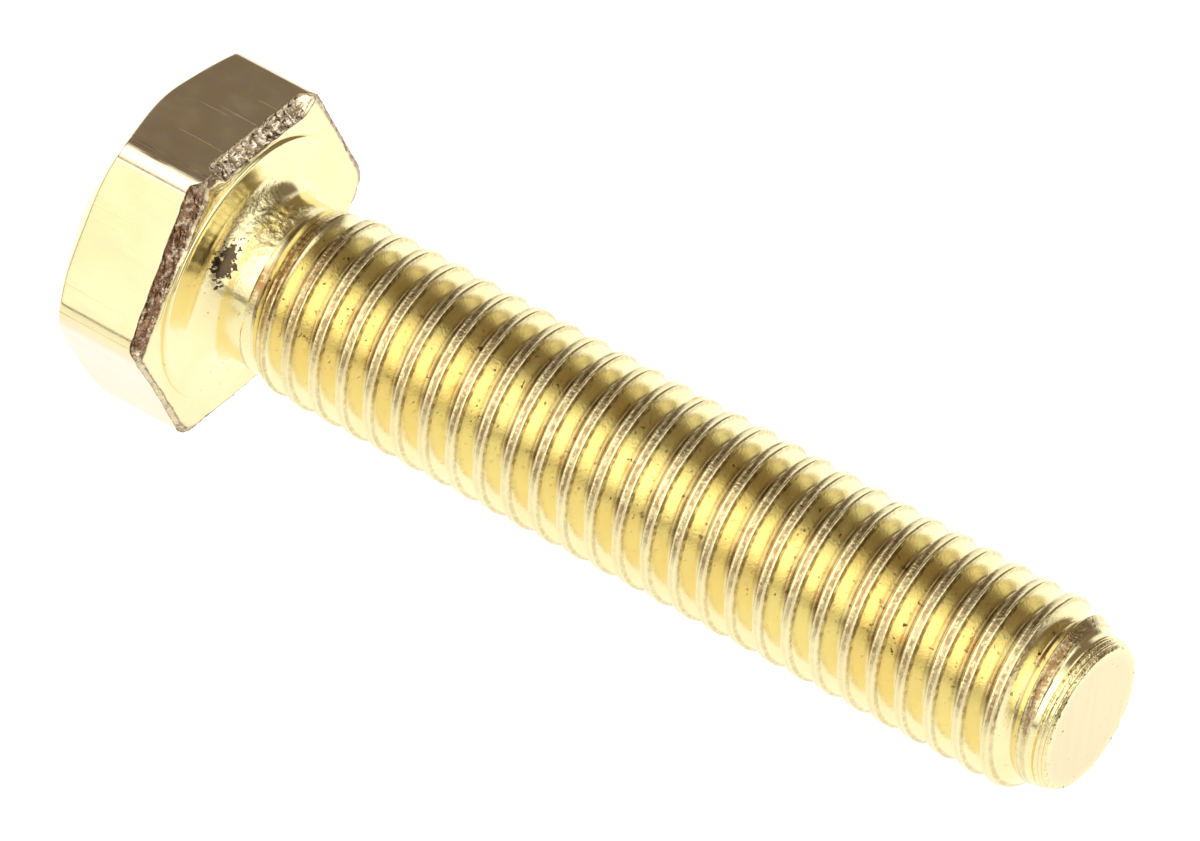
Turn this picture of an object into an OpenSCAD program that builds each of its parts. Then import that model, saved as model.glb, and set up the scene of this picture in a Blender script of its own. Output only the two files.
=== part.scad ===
// Fully threaded brass hex bolt (set screw), M6 x 1 x 30.
// The screw axis lies along +X, from the head to the point. The origin is the centre of the
// bearing face under the head, and +Z is the outward normal of one flat of the hexagon, so the
// bolt lies on the flat opposite. Lengths are in millimetres.
//
// A real bolt is one forged and rolled piece. It is divided here at the planes where one forming
// operation hands over to the next, and its pieces meet face to face on those planes.

/* [Thread] */
// Diameter over the thread crests
crest_d = 5.94; // [5.8:0.02:5.98]
// Diameter at the thread roots
root_d = 4.78; // [4.6:0.02:4.9]
// Axial distance from one crest to the next
pitch = 1.0; // [0.8:0.05:1.2]
// Length from the bearing face to the end of the point
length = 30; // [20:1:50]
// Distance from the bearing face to a crest on the +Y side, less whole pitches
crest_phase = 0.838; // [0:0.001:0.999]
// Flat land at the top of the thread, as a share of the pitch
crest_land = 0.13; // [0.1:0.01:0.2]
// Flat land at the bottom of the thread, as a share of the pitch
root_land = 0.2; // [0.15:0.01:0.25]

/* [Head] */
// Width of the hexagon across its flats
across_flats = 9.78; // [9.6:0.02:10]
// Width of the hexagon across its rounded corners
across_corners = 11; // [10.9:0.02:11.1]
// Height of the head, from the bearing face to the crown
head_h = 3.8; // [3.6:0.05:4.2]
// Distance from the bearing face to the crown's lower end, at a corner
corner_h = 3.05; // [2.9:0.05:3.2]
// Angle of the crown's slope to the top face, in degrees
crown_angle = 30; // [20:1:30]
// Width of the broken edge round the underside
under_bevel = 0.36; // [0.2:0.02:0.4]

/* [Bearing face] */
// Diameter of the washer face under the head
washer_d = 8.6; // [8.2:0.1:8.9]
// Height that the washer face stands proud of the hexagon
washer_h = 0.12; // [0.08:0.01:0.2]

/* [Neck] */
// Diameter of the plain neck between the head and the thread
neck_d = 5.3; // [5.1:0.05:5.5]
// Radius of the fillet between the bearing face and the neck
fillet_r = 0.7; // [0.3:0.05:0.8]
// Distance from the bearing face to the end of the plain neck
neck_l = 1.5; // [1:0.1:1.8]
// Distance from the bearing face to the first full thread
full_thread_x = 2.9; // [2.4:0.1:3.5]

/* [Point] */
// Diameter of the flat end face
end_d = 4.48; // [4.2:0.02:4.7]
// Diameter where the thread runs out into the point
point_d = 4.86; // [4.8:0.02:5]
// Length of the point, from the end of the thread's lead to the end face
point_l = 0.6; // [0.5:0.05:0.9]
// Length of the lead, over which the crests taper down to the point
lead_l = 0.9; // [0.6:0.05:1.2]

/* [Hidden] */
$fn = 96;

crest_r = crest_d / 2;
root_r = root_d / 2;
neck_r = neck_d / 2;
point_r = point_d / 2;
washer_r = washer_d / 2;
foot_r = neck_r + fillet_r;
corner_r = across_corners / 2;
crown_r = corner_r - (head_h - corner_h) / tan(crown_angle);
thread_x0 = neck_l;
thread_x1 = length - point_l;
lead_x0 = thread_x1 - lead_l;

// Share of the way from one place to another, held at 0 before it and at 1 after it
function ramp(x, from, to) = min(1, max(0, (x - from) / (to - from)));
// Radius of the crests, and of the roots, at a distance from the bearing face
function crest_at(x) = neck_r + (crest_r - neck_r) * ramp(x, thread_x0, full_thread_x)
    - (crest_r - point_r) * ramp(x, lead_x0, thread_x1);
function root_at(x) = neck_r + (root_r - neck_r) * ramp(x, thread_x0, full_thread_x)
    + (point_r - root_r) * ramp(x, lead_x0, thread_x1);

// One pitch of the thread form, as [place along the pitch, height from root 0 to crest 1]
round_off = 0.06;
FORM = [
    [root_land / 2, 0],
    [0.5 - crest_land / 2, 1 - round_off],
    [0.5, 1],
    [0.5 + crest_land / 2, 1 - round_off],
    [1 - root_land / 2, 0]
];
STEPS = len(FORM);
SECTORS = 32;
ROWS = STEPS * (ceil((thread_x1 - thread_x0) / pitch) + 3);
first_crest = crest_phase + (ceil(thread_x0 / pitch) - 3.5) * pitch;

// The helix: row i climbs one pitch in each turn, so it ends where row i + STEPS starts
function row_x(i, j) = first_crest + (floor(i / STEPS) + FORM[i % STEPS][0] + j / SECTORS) * pitch;
function row_r(i, j) = let (x = row_x(i, j))
    root_at(x) + (crest_at(x) - root_at(x)) * FORM[i % STEPS][1];
function spoke(x, r, j) = [x, r * cos(360 * j / SECTORS), r * sin(360 * j / SECTORS)];
// Number of the point that stands for row i at sector j: past either end it is on the end ring
function point_at(i, j) = j == SECTORS ? point_at(i + STEPS, 0)
    : row_x(i, j) <= thread_x0 ? j
    : row_x(i, j) >= thread_x1 ? SECTORS + j
    : 2 * SECTORS + i * SECTORS + j;
function whole(a, b, c) = a != b && b != c && c != a;

// Turns a solid made along +Z so that its axis lies along +X
module along_x() {
    rotate([0, 90, 0]) children();
}

// Hexagonal head, with rounded corners, a conical crown and a broken underside edge
module hex_head() {
    body_h = head_h - washer_h;
    bevel_r = (across_flats / 2 + body_h / 2) / cos(30);
    color("goldenrod") translate([-head_h, 0, 0]) along_x() intersection() {
        rotate([0, 0, 90]) cylinder(r = across_flats / 2 / cos(30), h = body_h, $fn = 6);
        cylinder(r = corner_r, h = body_h);
        cylinder(r1 = crown_r, r2 = crown_r + body_h / tan(crown_angle), h = body_h);
        bevelled_block(body_h);
    }
}

// A taller hexagon whose sides lean in at 45 degrees, to break the head's underside edge
module bevelled_block(body_h) {
    inner_r = (across_flats / 2 - under_bevel) / cos(30);
    rise = body_h / cos(30);
    rotate([0, 0, 90]) cylinder(r1 = inner_r + rise, r2 = inner_r, h = body_h, $fn = 6);
}

// Raised ring under the head that bears on the clamped part
module washer_face() {
    color("khaki") translate([-washer_h, 0, 0]) along_x() difference() {
        cylinder(r = washer_r, h = washer_h);
        translate([0, 0, -1]) cylinder(r = foot_r, h = washer_h + 2);
    }
}

// Plain neck that rises from the bearing face through a fillet
module neck() {
    color("gold") translate([-washer_h, 0, 0]) along_x() difference() {
        union() {
            cylinder(r = neck_r, h = neck_l + washer_h);
            cylinder(r = foot_r, h = washer_h + fillet_r);
        }
        translate([0, 0, washer_h + fillet_r]) rotate_extrude() translate([foot_r, 0]) circle(r = fillet_r);
    }
}

// Right-hand thread, with its run-out at the neck and its lead at the point
module thread() {
    points = concat(
        [for (j = [0 : SECTORS - 1]) spoke(thread_x0, neck_r, j)],
        [for (j = [0 : SECTORS - 1]) spoke(thread_x1, point_r, j)],
        [for (i = [0 : ROWS - 1], j = [0 : SECTORS - 1]) spoke(row_x(i, j), row_r(i, j), j)]
    );
    flanks = [for (i = [0 : ROWS - 2], j = [0 : SECTORS - 1])
        let (a = point_at(i, j), b = point_at(i, j + 1))
        let (c = point_at(i + 1, j + 1), d = point_at(i + 1, j))
        each [if (whole(a, b, c)) [a, c, b], if (whole(a, c, d)) [a, d, c]]
    ];
    ends = [
        [for (j = [0 : SECTORS - 1]) j],
        [for (j = [SECTORS - 1 : -1 : 0]) SECTORS + j]
    ];
    color("gold") polyhedron(points = points, faces = concat(flanks, ends));
}

// Sheared end, sloping in to the flat end face
module point() {
    step_l = point_l / 2;
    step_r = point_r - 0.05;
    color("lightyellow") translate([thread_x1, 0, 0]) along_x() union() {
        cylinder(r1 = point_r, r2 = step_r, h = step_l);
        translate([0, 0, step_l]) cylinder(r1 = step_r, r2 = end_d / 2, h = point_l - step_l);
    }
}

hex_head();
washer_face();
neck();
thread();
point();
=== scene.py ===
"""Brass hex bolt, M6 x 1 x 30, fully threaded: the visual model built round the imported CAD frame.

Shapes are worked out in millimetres in the frame of the CAD model and scaled to metres as each
mesh is made. Angles are measured about the screw axis, +X, from +Y towards +Z.
"""
import math

import bpy
import numpy as np
from mathutils import Matrix, Vector


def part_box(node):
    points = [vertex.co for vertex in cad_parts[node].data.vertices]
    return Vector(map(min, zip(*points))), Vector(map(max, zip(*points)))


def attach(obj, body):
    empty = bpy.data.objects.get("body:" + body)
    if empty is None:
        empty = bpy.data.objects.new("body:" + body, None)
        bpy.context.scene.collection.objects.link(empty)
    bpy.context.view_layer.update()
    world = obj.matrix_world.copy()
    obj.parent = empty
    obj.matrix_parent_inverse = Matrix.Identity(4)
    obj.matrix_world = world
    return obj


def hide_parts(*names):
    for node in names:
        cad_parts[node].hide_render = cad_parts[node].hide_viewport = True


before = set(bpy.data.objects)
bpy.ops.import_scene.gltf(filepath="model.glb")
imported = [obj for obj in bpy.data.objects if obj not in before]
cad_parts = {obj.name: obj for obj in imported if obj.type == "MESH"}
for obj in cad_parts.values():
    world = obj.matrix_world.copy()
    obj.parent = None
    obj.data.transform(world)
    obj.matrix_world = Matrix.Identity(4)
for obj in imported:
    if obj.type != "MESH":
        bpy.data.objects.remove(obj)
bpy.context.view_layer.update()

MM = 0.001
TURN = 2 * math.pi


def extent(node):
    """Lowest and highest corner of a CAD node, in millimetres."""
    low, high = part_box(node)
    return np.array(low) / MM, np.array(high) / MM


head_low, head_high = extent("hex_head")
ring_high = extent("washer_face")[1]
neck_high = extent("neck")[1]
thread_low, thread_high = extent("thread")
point_high = extent("point")[1]

# ---------------------------------------------------------------- sizes, in millimetres
# Sizes that the nodes' boxes don't give are part.scad's own, apart from the two roundings of the
# head's corners and the place where the lead starts, which were set against the photo.
TOP_X = head_low[0]
UNDER_X = head_high[0]
BEARING_X = ring_high[0]
FLAT_R = head_high[2]
CORNER_R = head_high[1]
CORNER_ROUND = 0.95
SHARPEST_ROUND = 0.3
CROWN_R = 4.2
CROWN_CORNER_X = -3.05
CROWN_DEG = 30
BEVEL = 0.36

RING_R = ring_high[1]
FILLET = 0.7
NECK_END_X = neck_high[0]
FOOT_R = neck_high[1]
NECK_R = FOOT_R - FILLET

PITCH = 1.0
CREST_R = thread_high[1]
ROOT_R = 2.39
CREST_PHASE = 0.838
THREAD_X0 = thread_low[0]
THREAD_X1 = thread_high[0]
FULL_THREAD_X = 2.9
LEAD_X = 28.45

POINT_R = point_high[1]
END_X = point_high[0]
END_R = 2.24

# Directions about the axis, in degrees: the corners and flats of the head that the photo shows.
FAR_CORNER = 60
TOP_FLAT = 90
NEAR_CORNER = 120
LEFT_FLAT = 150
LOWER_FLAT = 210

# The hexagon's angles: one side as seen from the axis, and half of that.
SIDE = TURN / 6
HALF_SIDE = TURN / 12


# ---------------------------------------------------------------- numbers and noise
def smooth(value, low, high):
    """0 below low, 1 above high, and a smooth step between."""
    share = np.clip((value - low) / (high - low), 0, 1)
    return share * share * (3 - 2 * share)


def bump(value, centre, width):
    """A smooth hill of height 1 that ends width away from its centre."""
    return 1 - smooth(np.abs(value - centre), 0, width)


def angle_hill(angle, centre_deg, width_deg):
    """A smooth hill round one direction about the axis."""
    away = (np.degrees(angle) - centre_deg + 180) % 360 - 180
    return 1 - smooth(np.abs(away), 0, width_deg)


def span(angle, start_deg, end_deg, soft_deg):
    """1 between two directions about the axis, and 0 elsewhere, with soft ends."""
    turned = np.degrees(angle) % 360
    started = smooth(turned, start_deg - soft_deg, start_deg + soft_deg)
    return started * (1 - smooth(turned, end_deg - soft_deg, end_deg + soft_deg))


# Large whole numbers that scatter neighbouring cells, one for each axis, the seed and the mixing.
SCATTER_X = 374761393
SCATTER_Y = 668265263
SCATTER_Z = 974711
SCATTER_SEED = 69069
SCATTER_MIX = 1274126177


def lattice(cells, seed):
    """A repeatable number from -1 to 1 for each whole-numbered cell."""
    mixed = cells[..., 0] * SCATTER_X + cells[..., 1] * SCATTER_Y + cells[..., 2] * SCATTER_Z
    mixed = mixed + seed * SCATTER_SEED
    mixed = (mixed ^ (mixed >> 13)) * SCATTER_MIX
    mixed = mixed ^ (mixed >> 16)
    return (mixed & 0xFFFF) / (0xFFFF / 2) - 1


def noise(points, cell, seed):
    """Smooth noise from -1 to 1 at points in millimetres, with features of about one cell."""
    place = points / cell + 1000.0
    base = np.floor(place).astype(np.int64)
    share = place - base
    share = share * share * (3 - 2 * share)
    total = np.zeros(points.shape[:-1])
    for corner in np.ndindex(2, 2, 2):
        weight = np.prod(np.where(np.array(corner) == 1, share, 1 - share), axis=-1)
        total += weight * lattice(base + np.array(corner), seed)
    return total


def creases(points, cell, seed):
    """Noise from 0 to 1 with sharp valleys where it would change sign."""
    return np.abs(noise(points, cell, seed))


def spokes(x, radius, angle):
    """Points at distances x along the axis, at a radius and an angle about it."""
    x, radius, angle = np.broadcast_arrays(x, radius, angle)
    return np.stack([x, radius * np.cos(angle), radius * np.sin(angle)], axis=-1)


def outward(rings):
    """The direction straight away from the axis at each point."""
    across = rings * np.array([0, 1, 1])
    return across / np.maximum(np.linalg.norm(across, axis=-1, keepdims=True), 1e-9)


def round_angles(sectors):
    """Angles spaced evenly round the axis."""
    return np.arange(sectors) * TURN / sectors


# ---------------------------------------------------------------- meshes
def build(name, points, faces, material, node):
    """Makes one piece from points in millimetres and hands it to the frame."""
    mesh = bpy.data.meshes.new(name)
    mesh.from_pydata((points * MM).tolist(), [], faces)
    mesh.validate()
    mesh.polygons.foreach_set("use_smooth", [True] * len(mesh.polygons))
    mesh.set_sharp_from_angle(angle=math.radians(70))
    mesh.materials.append(material)
    mesh.update()
    piece = bpy.data.objects.new(name, mesh)
    bpy.context.scene.collection.objects.link(piece)
    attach(piece, "root")
    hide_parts(node)
    return piece


def grid_faces(rows, sectors):
    """Quads between rings of points, with their normals facing out."""
    faces = []
    for row in range(rows - 1):
        for sector in range(sectors):
            after = (sector + 1) % sectors
            a = row * sectors
            b = a + sectors
            faces.append((a + sector, a + after, b + after, b + sector))
    return faces


def fan(centre, ring):
    """Triangles from a centre point to each side of a ring of points."""
    return [(centre, a, b) for a, b in zip(ring, ring[1:] + ring[:1])]


def closed_lathe(rings):
    """Points and faces of rings that run from low x to high x, closed by a fan at each end."""
    rows, sectors = rings.shape[:2]
    points = rings.reshape(-1, 3)
    low = [rings[0, :, 0].mean(), 0, 0]
    high = [rings[-1, :, 0].mean(), 0, 0]
    points = np.vstack([points, low, high])
    count = rows * sectors
    first_ring = list(range(sectors))[::-1]
    last_ring = list(range(count - sectors, count))
    faces = grid_faces(rows, sectors) + fan(count, first_ring) + fan(count + 1, last_ring)
    return points, faces


def store(piece, name, values):
    """Keeps one number for each point of a piece, for its material to read."""
    attribute = piece.data.attributes.new(name, "FLOAT", "POINT")
    padded = np.full(len(piece.data.vertices), values.ravel()[-1], np.float32)
    padded[: values.size] = values.ravel()
    attribute.data.foreach_set("value", padded)


# ---------------------------------------------------------------- node helpers
def new_material(name):
    """An empty node material, and its node tree."""
    material = bpy.data.materials.new(name)
    material.use_nodes = True
    material.node_tree.nodes.clear()
    return material, material.node_tree


def add(tree, kind, inputs=None, **settings):
    """Adds a node, sets its options, and fills its inputs with values or links."""
    node = tree.nodes.new(kind)
    for key, value in settings.items():
        setattr(node, key, value)
    for key, value in (inputs or {}).items():
        if isinstance(value, bpy.types.NodeSocket):
            tree.links.new(value, node.inputs[key])
        else:
            node.inputs[key].default_value = value
    return node


def calc(tree, operation, *values):
    """One step of arithmetic."""
    return add(tree, "ShaderNodeMath", dict(enumerate(values)), operation=operation).outputs[0]


def times(tree, first, *others):
    """The product of two or more values."""
    product = first
    for value in others:
        product = calc(tree, "MULTIPLY", product, value)
    return product


def highest(tree, first, *others):
    """The largest of two or more values."""
    best = first
    for value in others:
        best = calc(tree, "MAXIMUM", best, value)
    return best


def step(tree, value, low, high, start=0.0, end=1.0):
    """A smooth step from start to end as value goes from low to high."""
    inputs = {"Value": value, "From Min": low, "From Max": high, "To Min": start, "To Max": end}
    return add(tree, "ShaderNodeMapRange", inputs, interpolation_type="SMOOTHSTEP").outputs[0]


def grain(tree, place, scale, detail=3.0, rough=0.5):
    """Noise from 0 to 1 with about scale features to a millimetre."""
    inputs = {"Vector": place, "Scale": scale, "Detail": detail, "Roughness": rough}
    return add(tree, "ShaderNodeTexNoise", inputs).outputs["Fac"]


def stretched(tree, place, scale):
    """The same place with each axis scaled, so that a pattern on it is drawn out."""
    inputs = {0: place, 1: scale}
    return add(tree, "ShaderNodeVectorMath", inputs, operation="MULTIPLY").outputs[0]


def axes(tree, place):
    """The x, y and z of a place or a direction."""
    return add(tree, "ShaderNodeSeparateXYZ", {0: place}).outputs


def blend(tree, factor, first, second, kind="MIX"):
    """A colour from first to second as factor goes from 0 to 1."""
    inputs = {0: factor, 6: first, 7: second}
    return add(tree, "ShaderNodeMix", inputs, data_type="RGBA", blend_type=kind).outputs[2]


def relief(tree, height, depth_mm, normal=None):
    """A bump node whose full height stands depth_mm off the surface."""
    inputs = {"Height": height, "Distance": depth_mm * MM, "Strength": 1.0}
    if normal is not None:
        inputs["Normal"] = normal
    return add(tree, "ShaderNodeBump", inputs).outputs[0]


def millimetres(tree):
    """The place on the object, in millimetres."""
    place = add(tree, "ShaderNodeTexCoord").outputs["Object"]
    inputs = {0: place, "Scale": 1 / MM}
    return add(tree, "ShaderNodeVectorMath", inputs, operation="SCALE").outputs[0]


def stored(tree, name):
    """A number kept for each point of the mesh."""
    return add(tree, "ShaderNodeAttribute", None, attribute_name=name).outputs["Fac"]


def metal(tree, colour, roughness, normal):
    """Ends a material in bare metal."""
    inputs = {"Base Color": colour, "Metallic": 1.0, "Roughness": roughness, "Normal": normal}
    surface = add(tree, "ShaderNodeBsdfPrincipled", inputs).outputs[0]
    add(tree, "ShaderNodeOutputMaterial", {"Surface": surface})


# ---------------------------------------------------------------- materials
WHITE = (1, 1, 1, 1)
PALE_BRASS = (0.93, 0.83, 0.47, 1)
WARM_BRASS = (0.92, 0.79, 0.42, 1)
CUT_BRASS = (0.78, 0.66, 0.40, 1)
WORN_BRASS = (0.88, 0.76, 0.58, 1)
TORN_BRASS = (0.80, 0.68, 0.53, 1)
BROWN_BRASS = (0.25, 0.145, 0.08, 1)
THREAD_BROWN = (0.30, 0.165, 0.06, 1)
TARNISH = (0.13, 0.075, 0.04, 1)
ORANGE_STAIN = (0.62, 0.34, 0.10, 1)
# Partly stain and partly painted shade: the roots' brown and the dark lines beside the crests.
STAIN_AND_SHADE_BROWN = (0.21, 0.115, 0.045, 1)
# Painted shade: near black, for dark reflections and shade.
SHADE_BLACK = (0.09, 0.062, 0.035, 1)

# How far reliefs stand off the surface, in millimetres.
FINE_RELIEF = 0.0012
HEAD_RELIEF = 0.0018
FORGED_RELIEF = 0.0022
THREAD_RELIEF = 0.0065
TURNED_RELIEF = 0.012
CREST_RELIEF = 0.024
TORN_RELIEF = 0.035


def polished(tree, place):
    """Colour and roughness of the bright metal, with faint clouds in both."""
    cloud = grain(tree, place, scale=0.35)
    colour = blend(tree, step(tree, cloud, 0.35, 0.65), PALE_BRASS, WARM_BRASS)
    haze = grain(tree, place, scale=1.3, detail=4.0)
    roughness = step(tree, haze, 0.3, 0.75, start=0.13, end=0.24)
    return colour, roughness


def head_colour(tree, place, colour, torn):
    """The bright metal with drawn streaks and torn edges laid over it, then the stored brown, which
    is partly painted shade, and dark specks.
    """
    streaks = grain(tree, stretched(tree, place, (0.2, 6.0, 6.0)), scale=1.0, rough=0.6)
    streaks = step(tree, streaks, 0.3, 0.65, start=0.5, end=1.0)
    colour = blend(tree, times(tree, stored(tree, "worn"), streaks), colour, WORN_BRASS)
    colour = blend(tree, times(tree, torn, 0.8), colour, TORN_BRASS)
    # Brown where stored, partly painted shade.
    patches = step(tree, grain(tree, place, scale=5.0), 0.45, 0.7, start=1.0, end=0.4)
    colour = blend(tree, times(tree, stored(tree, "brown"), patches), colour, BROWN_BRASS)
    specks = step(tree, grain(tree, place, scale=6.0), 0.56, 0.64)
    return blend(tree, times(tree, torn, specks), colour, TARNISH)


def turned_rings(tree, place):
    """Fine rings about the axis, on the top face only, as a lathe tool leaves them."""
    x, y, z = axes(tree, place)
    across = add(tree, "ShaderNodeCombineXYZ", {1: y, 2: z}).outputs[0]
    from_axis = add(tree, "ShaderNodeVectorMath", {0: across}, operation="LENGTH").outputs[1]
    cuts = add(tree, "ShaderNodeCombineXYZ", {0: from_axis}).outputs[0]
    on_top = step(tree, x, TOP_X + 0.06, TOP_X + 0.02)
    return times(tree, grain(tree, cuts, scale=7.0, detail=4.0, rough=0.6), on_top)


def head_material():
    """Metal drawn along the flats, scratched on the clean parts and rough on the torn ones."""
    material, tree = new_material("head_brass")
    place = millimetres(tree)
    colour, roughness = polished(tree, place)
    torn = stored(tree, "torn")
    clean = calc(tree, "SUBTRACT", 1.0, torn)

    drawn = grain(tree, stretched(tree, place, (0.1, 7.0, 7.0)), scale=1.0, rough=0.6)
    scratches = step(tree, drawn, 0.66, 0.70)
    drawn_out = stretched(tree, place, (0.25, 3.0, 3.0))
    brushed = grain(tree, drawn_out, scale=1.0, detail=5.0, rough=0.65)
    colour = blend(tree, step(tree, brushed, 0.5, 0.75, end=0.35), colour, TORN_BRASS)
    colour = head_colour(tree, place, colour, torn)
    roughness = calc(tree, "ADD", roughness, times(tree, torn, 0.06))

    normal = relief(tree, grain(tree, place, scale=9.0, rough=0.6), HEAD_RELIEF)
    normal = relief(tree, turned_rings(tree, place), TURNED_RELIEF, normal)
    normal = relief(tree, times(tree, scratches, clean), FINE_RELIEF, normal)
    normal = relief(tree, brushed, FINE_RELIEF, normal)
    rough_height = times(tree, torn, grain(tree, place, scale=9.0, rough=0.6))
    normal = relief(tree, rough_height, TORN_RELIEF, normal)
    metal(tree, colour, roughness, normal)
    return material


def plain_material(name, pit_share):
    """Bright forged metal, with pits, cut metal and painted shade where the stored numbers say so.
    """
    material, tree = new_material(name)
    place = millimetres(tree)
    colour, roughness = polished(tree, place)

    shear_marks = grain(tree, stretched(tree, place, (1, 2.5, 0.25)), scale=1.2)
    cut = step(tree, shear_marks, 0.35, 0.65, start=0.9, end=1.0)
    colour = blend(tree, times(tree, stored(tree, "cut"), cut), colour, CUT_BRASS)
    torn = stored(tree, "torn")
    pits = step(tree, grain(tree, place, scale=7.0, rough=0.6), 0.5, 0.6)
    colour = blend(tree, times(tree, torn, pits, pit_share), colour, TARNISH)
    specks = step(tree, grain(tree, place, scale=2.6, detail=5.0, rough=0.7), 0.70, 0.74)
    colour = blend(tree, specks, colour, TARNISH)
    # Painted shade: the stored dark patches, given ragged edges.
    patches = grain(tree, place, scale=5.0, detail=4.0, rough=0.7)
    ragged = calc(tree, "MULTIPLY_ADD", patches, 2.8, -1.4)
    painted_shade = calc(tree, "ADD", stored(tree, "painted_shade"), ragged)
    colour = blend(tree, step(tree, painted_shade, 0.45, 0.55), colour, SHADE_BLACK)
    roughness = calc(tree, "ADD", roughness, times(tree, torn, 0.05))

    normal = relief(tree, grain(tree, place, scale=8.0, rough=0.6), FORGED_RELIEF)
    pit_height = times(tree, torn, grain(tree, place, scale=9.0, rough=0.6))
    normal = relief(tree, pit_height, TORN_RELIEF, normal)
    metal(tree, colour, roughness, normal)
    return material


def helix(tree, place):
    """Distance along the axis from the nearest crest line, and the angle about it in turns."""
    x, y, z = axes(tree, place)
    turn = calc(tree, "DIVIDE", calc(tree, "ARCTAN2", z, y), TURN)
    raw = calc(tree, "SUBTRACT", calc(tree, "DIVIDE", x, PITCH), turn)
    # Ten whole pitches keep the sum above 0, and the half puts the crest line in the middle.
    wrapped = calc(tree, "FRACT", calc(tree, "ADD", raw, 10.5 - CREST_PHASE))
    offset = times(tree, calc(tree, "SUBTRACT", wrapped, 0.5), PITCH)
    return offset, turn


def facing(tree, turn, towards, narrow, wide):
    """1 within narrow degrees of a direction about the axis, falling to 0 at wide degrees."""
    away = times(tree, calc(tree, "SUBTRACT", turn, towards / 360), TURN)
    lowest = math.cos(math.radians(wide))
    highest_cosine = math.cos(math.radians(narrow))
    return step(tree, calc(tree, "COSINE", away), lowest, highest_cosine)


def crest_colour(tree, place, colour, offset, shaded_side, soil_and_shade):
    """Dirt in the seam along the crest, painted shade in a line at each side of it, and a tint on
    its land.
    """
    away = calc(tree, "ABSOLUTE", offset)
    wobble = calc(tree, "MULTIPLY_ADD", grain(tree, place, scale=5.0), 0.10, -0.05)
    worn = step(tree, grain(tree, place, scale=4.5, rough=0.6), 0.35, 0.6, start=0.4, end=1.0)

    from_seam = calc(tree, "ADD", offset, calc(tree, "ADD", wobble, 0.025))
    seam = step(tree, calc(tree, "ABSOLUTE", from_seam), 0.045, 0.075, start=1.0, end=0.0)
    colour = blend(tree, times(tree, seam, worn, soil_and_shade, 0.85), colour, THREAD_BROWN)

    # Painted shade: a thin dark line at the outer foot of each rim, stronger on the shaded side.
    line_offset = calc(tree, "ADD", times(tree, wobble, 0.4), -0.172)
    from_line = calc(tree, "ABSOLUTE", calc(tree, "ADD", away, line_offset))
    side_lines = step(tree, from_line, 0.016, 0.045, start=0.85, end=0.0)
    line_shade = calc(tree, "MULTIPLY_ADD", shaded_side, 0.6, 0.4)
    colour = blend(tree, times(tree, side_lines, line_shade, worn), colour, STAIN_AND_SHADE_BROWN)

    land = step(tree, away, 0.13, 0.16, start=0.18, end=0.0)
    return blend(tree, times(tree, land, soil_and_shade), colour, THREAD_BROWN)


def root_colour(tree, place, colour, offset, soil_and_shade):
    """Brown in the bottom of the thread, partly stain and partly painted shade, stains that creep
    up its flanks, and dark specks.
    """
    away = calc(tree, "ABSOLUTE", offset)
    patches = grain(tree, place, scale=0.8, detail=4.0, rough=0.6)
    patches = step(tree, patches, 0.40, 0.62, start=0.6, end=1.0)
    # Brown in the roots, partly stain and partly painted shade.
    deep = highest(tree, step(tree, offset, -0.37, -0.43), step(tree, offset, 0.465, 0.49))
    colour = blend(tree, times(tree, deep, patches, soil_and_shade, 0.9), colour, STAIN_AND_SHADE_BROWN)

    creep = step(tree, away, 0.22, 0.5, end=0.5)
    blotches = step(tree, grain(tree, place, scale=1.6, detail=5.0, rough=0.65), 0.54, 0.74)
    colour = blend(tree, times(tree, creep, soil_and_shade, blotches), colour, ORANGE_STAIN)

    dots = step(tree, grain(tree, place, scale=4.5, detail=4.0, rough=0.65), 0.62, 0.68)
    below_crest = step(tree, away, 0.12, 0.35)
    return blend(tree, times(tree, dots, soil_and_shade, below_crest), colour, TARNISH)


def thread_material():
    """Glossy rolled metal, with its dirt and painted shade laid on more heavily on the side round
    128 degrees about the axis.
    """
    material, tree = new_material("thread_brass")
    place = millimetres(tree)
    colour, roughness = polished(tree, place)
    torn = stored(tree, "torn")
    offset, turn = helix(tree, place)
    # Painted shade and dirt: the side round 128 degrees gets more of the thread's brown, stains and
    # specks, for its dark reflection.
    shaded_side = facing(tree, turn, towards=128, narrow=30, wide=48)
    soil_and_shade = calc(tree, "MULTIPLY_ADD", shaded_side, 0.85, 0.15)

    colour = crest_colour(tree, place, colour, offset, shaded_side, soil_and_shade)
    colour = root_colour(tree, place, colour, offset, soil_and_shade)
    ragged = step(tree, grain(tree, place, scale=7.0, detail=4.0), 0.4, 0.6, start=0.35, end=1.0)
    colour = blend(tree, times(tree, torn, ragged), colour, THREAD_BROWN)
    # Brown on the first turns, round 140 degrees.
    patches = step(tree, grain(tree, place, scale=3.0, detail=4.0), 0.3, 0.5)
    colour = blend(tree, times(tree, stored(tree, "start_brown"), patches), colour, THREAD_BROWN)

    normal = relief(tree, grain(tree, place, scale=12.0, rough=0.6), THREAD_RELIEF)
    crest = step(tree, calc(tree, "ABSOLUTE", offset), 0.13, 0.2, start=1.0, end=0.0)
    rough = highest(tree, times(tree, crest, soil_and_shade), torn)
    rough_height = times(tree, rough, grain(tree, place, scale=10.0, rough=0.6))
    normal = relief(tree, rough_height, CREST_RELIEF, normal)
    metal(tree, colour, roughness, normal)
    return material


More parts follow.
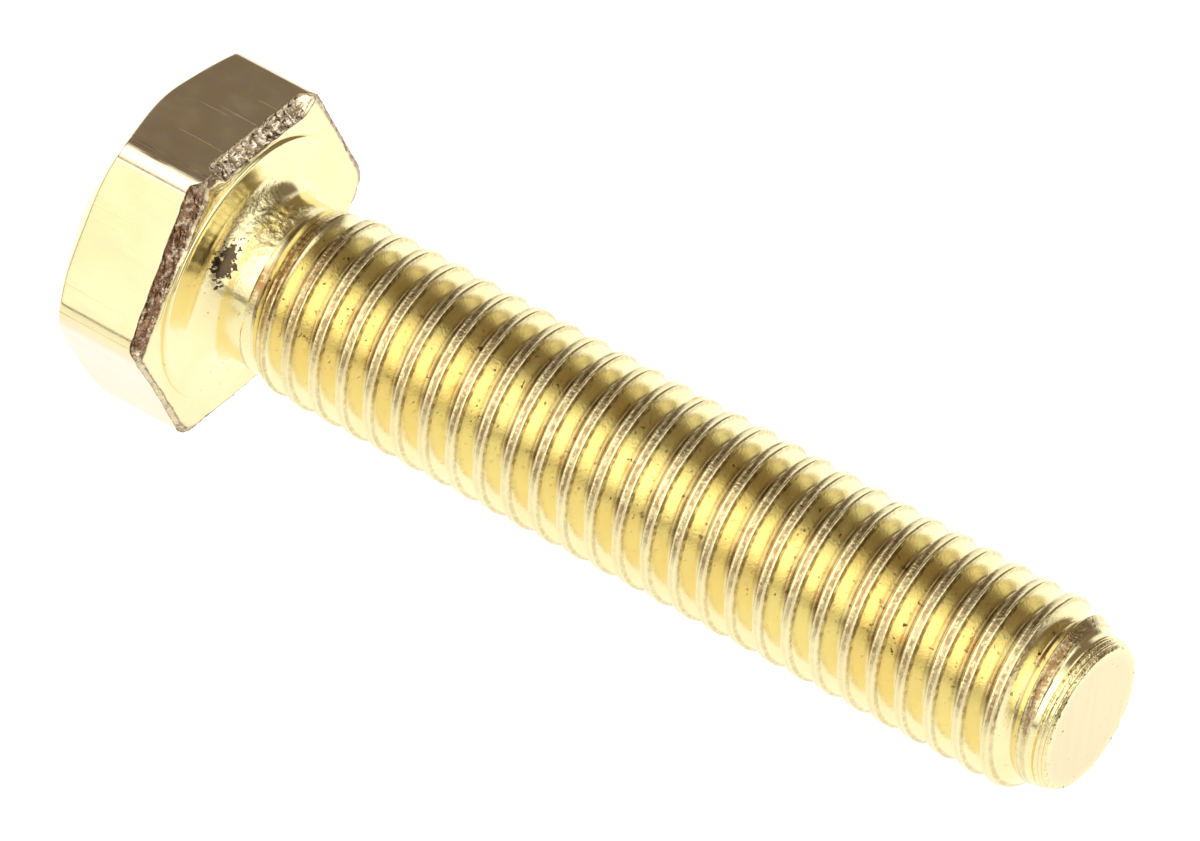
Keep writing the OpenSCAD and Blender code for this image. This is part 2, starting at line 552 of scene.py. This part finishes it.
# ---------------------------------------------------------------- the head
def hexagon(angle, inset):
    """Radius of the rounded hexagon, with its flats moved in by inset. A flat faces +Z."""
    flat = FLAT_R - inset
    rounding = CORNER_ROUND - 0.6 * angle_hill(angle, FAR_CORNER, 30)
    rounding = rounding - 0.35 * angle_hill(angle, NEAR_CORNER, 30)
    rounding = np.maximum(rounding - inset, SHARPEST_ROUND)
    from_flat = (angle - math.pi / 2 + HALF_SIDE) % SIDE - HALF_SIDE
    straight = flat / np.cos(from_flat)
    from_corner = HALF_SIDE - np.abs(from_flat)
    centre = (flat - rounding) / math.cos(HALF_SIDE)
    reach = np.maximum(rounding**2 - (centre * np.sin(from_corner)) ** 2, 0)
    arc = centre * np.cos(from_corner) + np.sqrt(reach)
    # The arc meets the flat half a side round from the corner, where its sine is exactly 0.5.
    tangent = np.arctan2(rounding * 0.5, centre + rounding * math.cos(HALF_SIDE))
    return np.where(from_corner < tangent, arc, straight)


def outline_angles(per_side):
    """Angles spaced evenly along the hexagon's outline, and closer together at its corners."""
    share = np.linspace(-1, 1, per_side, endpoint=False)
    share = share + 0.045 * np.sin(math.pi * share)
    side = np.arctan(share * math.tan(HALF_SIDE))
    return np.concatenate([side + TURN * flat / 6 + math.pi / 2 for flat in range(6)])


def torn_folds(rings):
    """How deep the ragged folds of the broken edge go."""
    slanted = rings * np.array([1.2, 0.45, 0.45]) + rings[..., [1, 2, 0]] * 0.2
    folds = 0.05 * creases(slanted, 0.4, 11) + 0.085 * creases(slanted, 0.17, 12)
    return folds + 0.04 * creases(rings, 0.09, 13)


def side_wave(rings, angle):
    """How far the head's sides lie below true: waves, lines at a corner, a score and a nick."""
    x = rings[..., 0]
    from_corner = (np.degrees(angle) + 30) % 60 - 30
    wave = np.abs(0.008 * noise(rings, 1.6, 21) + 0.003 * noise(rings, 0.5, 22))
    corner_lines = bump(np.abs(from_corner), 4.2, 0.5) * angle_hill(angle, NEAR_CORNER, 8)
    score = angle_hill(angle, 84.5, 0.5) * smooth(x, -1.9, -1.7)
    nick = bump(x, -1.95, 0.07) * span(angle, 115.5, 121, 0.5)
    wave = wave + 0.014 * corner_lines
    wave = wave + 0.012 * score
    return wave + 0.05 * nick * (1 + 0.5 * noise(rings, 0.1, 24))


# Painted shade in thin dark lines along the head's sides, by its corners: direction and half width
# in degrees, and strength.
DARK_LINES = (
    (116.2, 0.4, 0.8),
    (123.8, 0.35, 0.7),
    (178.5, 0.35, 0.6),
    (117.6, 0.3, 0.4),
)


def head():
    """The forged head, from its top face to the underside that the bearing ring stands on."""
    angle = outline_angles(per_side=170)
    uneven = 0.07 * angle_hill(angle, LOWER_FLAT, 38)
    outline = hexagon(angle, uneven)
    lean = CROWN_DEG + 6 * angle_hill(angle, TOP_FLAT, 30) - 10 * angle_hill(angle, LEFT_FLAT, 30)
    corner_x = CROWN_CORNER_X - 0.1 * angle_hill(angle, FAR_CORNER, 25)
    crown_edge = corner_x - (CORNER_R - outline) * np.tan(np.radians(lean))
    slope = (crown_edge - TOP_X) / (outline - CROWN_R)

    rings = []
    torn = []
    shaded_creases = []

    def ring(x, radius, tear=0.0, crease_shade=0.0):
        rings.append(spokes(x, radius, angle))
        torn.append(np.broadcast_to(tear, angle.shape))
        shaded_creases.append(np.broadcast_to(crease_shade, angle.shape))

    # The top face and the crown, whose edges are rounded over a short way to each side.
    round_off = 0.05
    for share in (0.15, 0.35, 0.55, 0.75, 0.88, 0.96):
        ring(TOP_X, CROWN_R * share)
    ring(TOP_X, CROWN_R - round_off)
    ring(TOP_X + 0.004, CROWN_R)
    ring(TOP_X + slope * round_off, CROWN_R + round_off)
    for share in (0.2, 0.4, 0.6, 0.8):
        radius = CROWN_R + (outline - CROWN_R) * share
        ring(TOP_X + slope * (radius - CROWN_R), radius)
    ring(crown_edge - slope * round_off, outline - round_off)
    side_start_row = len(rings)
    side_start = crown_edge + 0.06
    ring(crown_edge + 0.006, outline - 0.008)
    ring(side_start, outline)

    # The broken edge: wide along two sides of the head, and narrow along the others.
    grid = spokes(-0.3, outline, angle)
    top_strip = span(angle, 62, 113, 2)
    left_strip = span(angle, 120, 181, 2)
    lower_edge = span(angle, 182, 236, 4)
    taper = 1 - 0.3 * smooth(np.degrees(angle) % 360, 130, 180)
    width = BEVEL * (0.3 + 0.92 * top_strip + 0.87 * left_strip * taper)
    width = width + 0.025 * noise(grid, 0.3, 3) + 0.012 * noise(grid, 0.12, 4)
    bevel_start = UNDER_X - width
    tear = np.maximum(np.maximum(top_strip, left_strip), 0.75 - 0.25 * lower_edge)
    for share in (0.03, 0.12, 0.24, 0.36, 0.48, 0.6, 0.72, 0.84, 0.93, 0.98, 1.0):
        ring(side_start + (bevel_start - 0.015 - side_start) * share, outline)
    bevel_row = len(rings)
    bevel_rows = 22
    for row in range(bevel_rows):
        share = (row + 0.5) / bevel_rows
        x = bevel_start + (UNDER_X - bevel_start) * share
        ring(x, hexagon(angle, uneven + width * share), tear)

    # The underside, with a lip pushed up in ridges beside the broken edge, and painted shade in the
    # crease right beside that edge.
    under_rows = 14
    inner = hexagon(angle, uneven + width)
    for row in range(1, under_rows + 1):
        share = row / under_rows
        radius = inner + (RING_R - 0.02 - inner) * share
        ridges = bump(share, 0.3, 0.2) + 0.7 * bump(share, 0.68, 0.16)
        ridges = ridges - 0.8 * bump(share, 0.06, 0.08)
        lip = 0.075 * angle_hill(angle, 130, 62) * ridges * (1 + 0.4 * noise(grid, 0.5, 5))
        beside_edge = bump(share, 0.07, 0.1)
        crevice = beside_edge * np.maximum(tear, 0.6)
        crevice = np.maximum(crevice, 0.35 * angle_hill(angle, 130, 50))
        # Painted shade in the crease right beside the broken edge, stored with the brown.
        ring(UNDER_X + lip, radius, crevice, beside_edge * span(angle, 60, 300, 4))
    for share in (0.75, 0.5, 0.25):
        ring(UNDER_X, RING_R * share)

    rings = np.array(rings)
    torn = np.array(torn)
    radial = outward(rings)
    rows = np.arange(len(rings))[:, None]
    last_bevel_row = bevel_row + bevel_rows
    in_bevel = smooth(rows, bevel_row - 0.6, bevel_row + 2.5)
    in_bevel = in_bevel * (1 - smooth(rows, last_bevel_row - 2, last_bevel_row + 1))
    depth = torn_folds(rings) * in_bevel * np.sqrt(width / BEVEL)
    rings = rings + (-radial + np.array([-1.0, 0, 0])) * depth[..., None]
    side = (rows >= side_start_row) & (rows < bevel_row)
    rings = rings - radial * np.where(side, side_wave(rings, angle), 0)[..., None]
    points, faces = closed_lathe(rings)
    piece = build("head_forging", points, faces, head_material(), "hex_head")

    # The stored brown: the torn metal's brown, painted shade in the crease beside the broken edge,
    # and painted shade in the dark lines along the sides.
    lines = sum(dark * angle_hill(angle, centre, reach) for centre, reach, dark in DARK_LINES)
    lines = np.where(side, lines * (0.6 + 0.6 * noise(rings, 0.35, 25)), 0)
    browned = np.maximum(left_strip, 1.0 - 0.9 * span(angle, 60, 116, 2) - 0.45 * lower_edge)
    brown = np.maximum(np.maximum(torn * browned, np.array(shaded_creases)), lines)
    bands = np.maximum(span(angle, 181, 239, 3), span(angle, 60, 124, 1))
    store(piece, "torn", torn)
    store(piece, "brown", np.clip(brown, 0, 1))
    store(piece, "worn", np.where(side, bands, 0))


# ---------------------------------------------------------------- the bearing ring
# The rounded rim and shallow dish: distance back from the bearing face, and in from the rim.
RIM_AND_DISH = [
    (0.06, 0.008), (0.025, 0.03), (0.006, 0.07), (0.0, 0.12), (0.004, 0.2),
    (0.014, 0.35), (0.02, 0.5), (0.018, 0.65), (0.01, 0.8),
]


def bearing_ring():
    """The raised ring that bears on the clamped part, a closed tube about the neck's foot."""
    angle = round_angles(sectors=480)
    wall = [(UNDER_X, RING_R), (UNDER_X + 0.03, RING_R)]
    bearing = [(BEARING_X - back, RING_R - inset) for back, inset in RIM_AND_DISH]
    bearing.append((BEARING_X - 0.002, FOOT_R + 0.06))
    inner_wall = [(BEARING_X, FOOT_R), (UNDER_X + 0.06, FOOT_R), (UNDER_X, FOOT_R)]
    under = [(UNDER_X, FOOT_R + 0.5)]
    section = wall + bearing + inner_wall + under
    rings = np.array([spokes(x, radius, angle) for x, radius in section])
    in_bearing = np.zeros(len(section))
    in_bearing[len(wall) : len(wall) + len(bearing)] = 1
    wave = 0.004 * noise(rings, 0.9, 31) + 0.0015 * noise(rings, 0.3, 32)
    rings[..., 0] -= np.abs(wave) * in_bearing[:, None]

    rows, sectors = rings.shape[:2]
    count = rows * sectors
    faces = [tuple(index % count for index in face) for face in grid_faces(rows + 1, sectors)]
    material = plain_material("bearing_brass", pit_share=0.3)
    build("bearing_ring", rings.reshape(-1, 3), faces, material, "washer_face")


# ---------------------------------------------------------------- the neck
def neck():
    """The fillet and the plain neck, pitted on the side that the photo shows."""
    angle = round_angles(sectors=420)
    section = [(UNDER_X, FOOT_R), (UNDER_X + 0.06, FOOT_R)]
    arc_steps = 16
    for number in range(arc_steps + 1):
        turn = math.pi / 2 * number / arc_steps
        x = BEARING_X + FILLET * (1 - math.cos(turn))
        section.append((x, FOOT_R - FILLET * math.sin(turn)))
    plain_steps = 14
    for number in range(1, plain_steps + 1):
        section.append((FILLET + (NECK_END_X - FILLET) * number / plain_steps, NECK_R))
    rings = np.array([spokes(x, radius, angle) for x, radius in section])

    rows = np.arange(len(rings))[:, None]
    fade = smooth(rows, 3, 7) * (1 - smooth(rows, len(rings) - 4, len(rings) - 1))
    patch = np.maximum(angle_hill(angle, 100, 36), 0.2 * angle_hill(angle, 140, 40))
    rough = 0.035 * creases(rings, 0.22, 41) + 0.02 * creases(rings, 0.1, 42)
    dents = rough * fade * patch + 0.006 * noise(rings, 0.6, 43) * fade
    rings = rings - outward(rings) * dents[..., None]
    points, faces = closed_lathe(rings)
    material = plain_material("neck_brass", pit_share=0.6)
    piece = build("plain_neck", points, faces, material, "neck")
    store(piece, "torn", fade * patch)
    # Painted dark reflection: a near-black patch in the fillet, round 141 degrees.
    store(piece, "painted_shade", 1.05 * angle_hill(angle, 141, 27) * bump(rings[..., 0], 0.4, 0.5))


# ---------------------------------------------------------------- the thread
# One pitch of the rolled form, from root to root: distance from the crest's centre along the
# axis, and depth below the crest. Rolling closes the crest with two thin rims beside a trough.
ROLLED_FORM = [
    (-0.500, 0.580), (-0.462, 0.570), (-0.432, 0.540), (-0.390, 0.474), (-0.300, 0.310),
    (-0.225, 0.170), (-0.198, 0.115), (-0.182, 0.070), (-0.168, 0.038), (-0.152, 0.018),
    (-0.138, 0.010), (-0.120, 0.012), (-0.098, 0.020), (-0.060, 0.031), (-0.015, 0.035),
    (0.025, 0.031), (0.055, 0.019), (0.078, 0.005), (0.096, 0.000), (0.118, 0.003),
    (0.138, 0.014), (0.156, 0.036), (0.174, 0.072), (0.215, 0.145), (0.310, 0.302),
    (0.400, 0.455), (0.438, 0.515), (0.468, 0.560),
]
FORM_DEPTH = 0.580
# The helix starts this many turns before the thread does, and what lies outside it is cut off.
SPARE_TURNS = 3
# How near an end of the thread a point counts as past it.
CLOSE = 1e-6


def crest_radius(x):
    """Radius of the crests, which rise out of the neck and fall again at the lead."""
    start = NECK_R + 0.06
    rise = start + (CREST_R - NECK_R - 0.06) * smooth(x, THREAD_X0, FULL_THREAD_X)
    return rise - (CREST_R - POINT_R) * np.clip((x - LEAD_X) / (THREAD_X1 - LEAD_X), 0, 1)


def root_radius(x):
    """Radius of the roots, which fade in from the neck and out again at the lead."""
    fall = NECK_R - (NECK_R - ROOT_R) * smooth(x, THREAD_X0, FULL_THREAD_X)
    return fall + (POINT_R - ROOT_R) * smooth(x, LEAD_X + 0.4, THREAD_X1)


def thread_faces(number, steps, sectors, low_centre):
    """Faces over the helix, whose rows join up one turn later, and a fan over each end."""
    wrapped = np.concatenate([number[:-steps], number[steps:, :1]], axis=1)
    faces = []
    for low, high in zip(wrapped[:-1], wrapped[1:]):
        for a, b, c, d in zip(low[:-1], low[1:], high[1:], high[:-1]):
            corners = list(dict.fromkeys((int(a), int(b), int(c), int(d))))
            if len(corners) > 2:
                faces.append(tuple(corners))
    low_cap = list(range(sectors))[::-1]
    high_cap = list(range(sectors, 2 * sectors))
    return faces + fan(low_centre, low_cap) + fan(low_centre + 1, high_cap)


def thread():
    """The rolled thread, one long strip of the rolled form wound round the shank."""
    sectors = 112
    steps = len(ROLLED_FORM)
    turns = math.ceil((THREAD_X1 - THREAD_X0) / PITCH) + SPARE_TURNS
    first_crest = CREST_PHASE + math.ceil(THREAD_X0 / PITCH) - SPARE_TURNS
    form = np.array(ROLLED_FORM)
    row = np.arange(turns * steps)[:, None]
    sector = np.arange(sectors)[None, :]
    offset = form[row % steps, 0] * np.ones_like(sector)
    depth = form[row % steps, 1] * np.ones_like(sector)
    angle = sector * TURN / sectors + 0 * row
    x = first_crest + (row // steps + sector / sectors) * PITCH + offset
    height = 1 - depth / FORM_DEPTH
    radius = root_radius(x) + (crest_radius(x) - root_radius(x)) * height

    # Wear of the crest. The noise is moved on along the axis from turn to turn and from one rim
    # to the other, so that neighbours don't repeat each other.
    along_crest = spokes(x * 0.3, CREST_R, angle)
    along_crest[..., 0] += (x - offset) * 7
    other_rim = np.sign(offset) * 40
    rim_place = along_crest + np.stack([other_rim, other_rim * 0, other_rim * 0], axis=-1)
    on_crest = 1 - smooth(np.abs(offset), 0.16, 0.21)
    on_rim = np.maximum(bump(offset, -0.14, 0.05), bump(offset, 0.09, 0.08))
    nick = np.maximum(noise(rim_place, 0.28, 51) - 0.45, 0) * 0.05
    nick = nick + np.maximum(noise(rim_place, 0.9, 52) - 0.4, 0) * 0.02
    radius = radius - nick * on_rim
    radius = radius - bump(offset, -0.04, 0.06) * 0.014 * noise(along_crest, 0.35, 53)
    place = spokes(x, radius, angle)
    sway = 0.004 * noise(place, 1.1, 54) + 0.002 * noise(place, 0.4, 55)
    radius = radius - np.abs(sway) * (1 - 0.5 * on_crest)

    # Ragged metal on the first crests and on the last partial one.
    start_rough = 1 - smooth(x, FULL_THREAD_X - 0.2, FULL_THREAD_X + 1.0)
    end_rough = smooth(x, LEAD_X, LEAD_X + 0.35)
    worst = 0.2 + 0.8 * angle_hill(angle, 115, 65)
    narrow = 1 - smooth(np.abs(offset), 0.10, 0.16)
    torn = np.maximum(start_rough * worst * on_crest, end_rough * worst * narrow)
    fade = smooth(x, THREAD_X0, THREAD_X0 + 0.3) * (1 - smooth(x, THREAD_X1 - 0.15, THREAD_X1))
    ragged = 0.05 * creases(place, 0.2, 56) + 0.03 * creases(place, 0.09, 57)
    radius = radius - ragged * torn * fade

    # Points past an end of the thread are taken to that end's ring.
    before = x <= THREAD_X0 + CLOSE
    after = x >= THREAD_X1 - CLOSE
    inside = ~before & ~after
    number = np.where(before, sector, sectors + sector)
    number[inside] = 2 * sectors + np.arange(inside.sum())
    end_angle = round_angles(sectors)
    points = np.vstack([
        spokes(THREAD_X0, NECK_R, end_angle),
        spokes(THREAD_X1, POINT_R, end_angle),
        spokes(x, radius, angle)[inside],
        [[THREAD_X0, 0, 0], [THREAD_X1, 0, 0]],
    ])
    faces = thread_faces(number, steps, sectors, low_centre=len(points) - 2)
    piece = build("rolled_thread", points, faces, thread_material(), "thread")
    # Brown on the first turns, round 140 degrees, stored for the material.
    start_brown = (1 - smooth(x, 1.8, 2.0)) * angle_hill(angle, 140, 24)
    ends = np.zeros(2 * sectors)
    store(piece, "torn", np.concatenate([ends, torn[inside]]))
    store(piece, "start_brown", np.concatenate([ends, start_brown[inside]]))


# ---------------------------------------------------------------- the point
# The side of the point: distance from the thread's end, and distance in from its radius there.
# After the plain start come three grooves that the shear leaves, with rounded lands between.
POINT_SIDE = [
    (0, 0), (0.05, 0.008), (0.12, 0.016), (0.17, 0.02), (0.19, 0.05),
    (0.205, 0.105), (0.23, 0.105), (0.25, 0.055), (0.28, 0.04), (0.33, 0.055),
    (0.35, 0.115), (0.37, 0.12), (0.39, 0.08), (0.43, 0.075), (0.46, 0.10),
    (0.48, 0.145), (0.50, 0.13),
]
PLAIN_ROWS = 4
GROOVE_ROWS = (5.5, 10.5, 15.5)


def point():
    """The sheared point, with its grooves, its flat end face and the notch in that face's edge."""
    angle = round_angles(sectors=420)
    rough_side = angle_hill(angle, 110, 75)
    side_rough = 0.15 + 0.85 * rough_side
    circle = spokes(0, 1, angle)
    edge = END_R - rough_side * (0.05 + 0.05 * noise(circle, 0.16, 61))
    edge = edge + 0.015 * noise(circle, 0.4, 62)
    wander = 0.03 * noise(circle, 0.5, 67) * (0.3 + 0.7 * rough_side)

    rings = []
    for number, (along, inset) in enumerate(POINT_SIDE):
        x = THREAD_X1 + along + wander * (number >= PLAIN_ROWS)
        rings.append(spokes(x, POINT_R - inset, angle))
    side_rows = len(rings)
    rings.append(spokes(END_X - 0.05, edge + 0.035, angle))
    rings.append(spokes(END_X - 0.02, edge + 0.015, angle))
    rings.append(spokes(END_X, edge - 0.02, angle))
    for share in (0.95, 0.85, 0.7, 0.5, 0.3, 0.12):
        rings.append(spokes(END_X, END_R * share, angle))
    rings = np.array(rings)

    rows = np.arange(len(rings))[:, None]
    lips = smooth(rows, 2, 5) * (1 - smooth(rows, side_rows, side_rows + 3))
    stretch = rings * np.array([1.0, 0.4, 0.4])
    ragged = 0.022 * creases(stretch, 0.2, 63) + 0.012 * creases(rings, 0.1, 64)
    radial = outward(rings)
    rings = rings - radial * (ragged * lips * side_rough)[..., None]
    face = smooth(rows, side_rows + 2, side_rows + 4)
    uneven = np.abs(0.006 * noise(rings, 1.1, 65) + 0.003 * noise(rings, 0.4, 66))
    from_middle = np.linalg.norm(rings[..., 1:], axis=-1)
    rings[..., 0] -= face * uneven * smooth(from_middle, 0.3, 1.0)
    notch = 0.07 * angle_hill(angle, 326, 4) * smooth(rows, side_rows - 1, side_rows + 1)
    notch = notch * (1 - smooth(rows, side_rows + 3, side_rows + 4))
    rings = rings - radial * notch[..., None]
    points, faces = closed_lathe(rings)
    material = plain_material("point_brass", pit_share=0.6)
    piece = build("sheared_point", points, faces, material, "point")

    # Painted dark reflection: a thin dark line round the end face's edge, strongest near 325
    # degrees; it is also stored as torn.
    edge_line = bump(rows, side_rows + 1.5, 1.5) * (0.5 + 0.5 * angle_hill(angle, 325, 14))
    grooves = sum(bump(rows, middle, 1.2) for middle in GROOVE_ROWS)
    store(piece, "torn", np.maximum(lips * side_rough * 0.7, edge_line))
    store(piece, "cut", face * np.ones_like(angle))
    # Painted shade in the grooves on the rough side, and the painted dark line round the edge.
    store(piece, "painted_shade", 0.45 * grooves * rough_side + 0.6 * edge_line)


# ---------------------------------------------------------------- camera, floor and light
def camera():
    """A long lens at the photo's viewing angle. Distance and aim are in millimetres."""
    azimuth = math.radians(32.16)
    elevation = math.radians(40.78)
    lean = math.radians(5.915)
    distance = 368.5
    aim = Vector((12.593, -0.122, 1.366))
    turn = Matrix.Rotation(azimuth, 3, "Z") @ Matrix.Rotation(math.pi / 2 - elevation, 3, "X")
    turn = turn @ Matrix.Rotation(lean, 3, "Z")
    back = turn @ Vector((0, 0, 1))
    data = bpy.data.cameras.new("camera")
    data.lens = 381.05
    data.sensor_width = 36
    data.clip_start = 0.01
    view = bpy.data.objects.new("camera", data)
    view.matrix_world = Matrix.Translation((aim + back * distance) * MM) @ turn.to_4x4()
    bpy.context.scene.collection.objects.link(view)
    bpy.context.scene.camera = view


def floor():
    """A pale light table, a flat disc that lies just under the head's lower flat."""
    reach = 110
    gap = 0.01
    corners = 96
    middle = np.array([12, 0, -FLAT_R - gap])
    angle = round_angles(corners)
    rim = middle + np.stack([reach * np.cos(angle), reach * np.sin(angle), 0 * angle], axis=-1)
    points = np.vstack([middle, rim])
    faces = fan(0, list(range(1, corners + 1)))
    mesh = bpy.data.meshes.new("floor")
    mesh.from_pydata((points * MM).tolist(), [], faces)
    table = bpy.data.objects.new("floor", mesh)
    bpy.context.scene.collection.objects.link(table)
    material, tree = new_material("floor_white")
    y = axes(tree, millimetres(tree))[1]
    strength = step(tree, y, -25, 20, start=1.03, end=1.32)
    glow = add(tree, "ShaderNodeEmission", {"Color": WHITE, "Strength": strength})
    add(tree, "ShaderNodeOutputMaterial", {"Surface": glow.outputs[0]})
    mesh.materials.append(material)


ROOM = (0.215, 0.17, 0.13, 1)


def soft_boxes(tree, x, y, z):
    """Brightness of the lights and the table by direction. Each has soft edges."""
    height = calc(tree, "ARCTAN2", z, y)
    left = times(tree, step(tree, y, 0.20, -0.10), step(tree, x, 0.78, 0.58))
    left = times(tree, left, step(tree, z, 0.03, 0.13))
    middle = times(tree, step(tree, y, -0.05, -0.45), step(tree, z, 0.15, 0.5))
    left = times(tree, left, step(tree, middle, 0.0, 1.0, start=1.15, end=2.0))

    right = times(tree, step(tree, x, 0.10, 0.40), step(tree, z, 0.25, 0.50))
    right = times(tree, right, step(tree, y, 0.66, 0.48, end=1.4))

    lower_edge = step(tree, height, math.radians(39), math.radians(21))
    behind = times(tree, step(tree, x, 0.05, -0.25), lower_edge)
    behind = times(tree, behind, times(tree, step(tree, y, 0.0, 0.2), 1.15))

    table = times(tree, step(tree, z, 0.0, -0.05), step(tree, x, 0.95, 0.8, start=0.3, end=1.15))
    return highest(tree, left, right, behind, table)


def studio():
    """A white table in a dim warm room, lit by soft boxes at the left, at the right and behind."""
    world = bpy.data.worlds.new("studio")
    bpy.context.scene.world = world
    world.use_nodes = True
    tree = world.node_tree
    tree.nodes.clear()
    x, y, z = axes(tree, add(tree, "ShaderNodeTexCoord").outputs["Generated"])
    lamps = soft_boxes(tree, x, y, z)
    level = add(tree, "ShaderNodeCombineColor", {0: lamps, 1: lamps, 2: lamps}).outputs[0]
    light = blend(tree, 1.0, level, ROOM, kind="LIGHTEN")
    seen = add(tree, "ShaderNodeLightPath").outputs["Is Camera Ray"]
    shown = blend(tree, seen, light, WHITE)
    back = add(tree, "ShaderNodeBackground", {"Color": shown, "Strength": 1.0})
    add(tree, "ShaderNodeOutputWorld", {"Surface": back.outputs[0]})
    bpy.context.scene.view_settings.view_transform = "Standard"


head()
bearing_ring()
neck()
thread()
point()
camera()
floor()
studio()
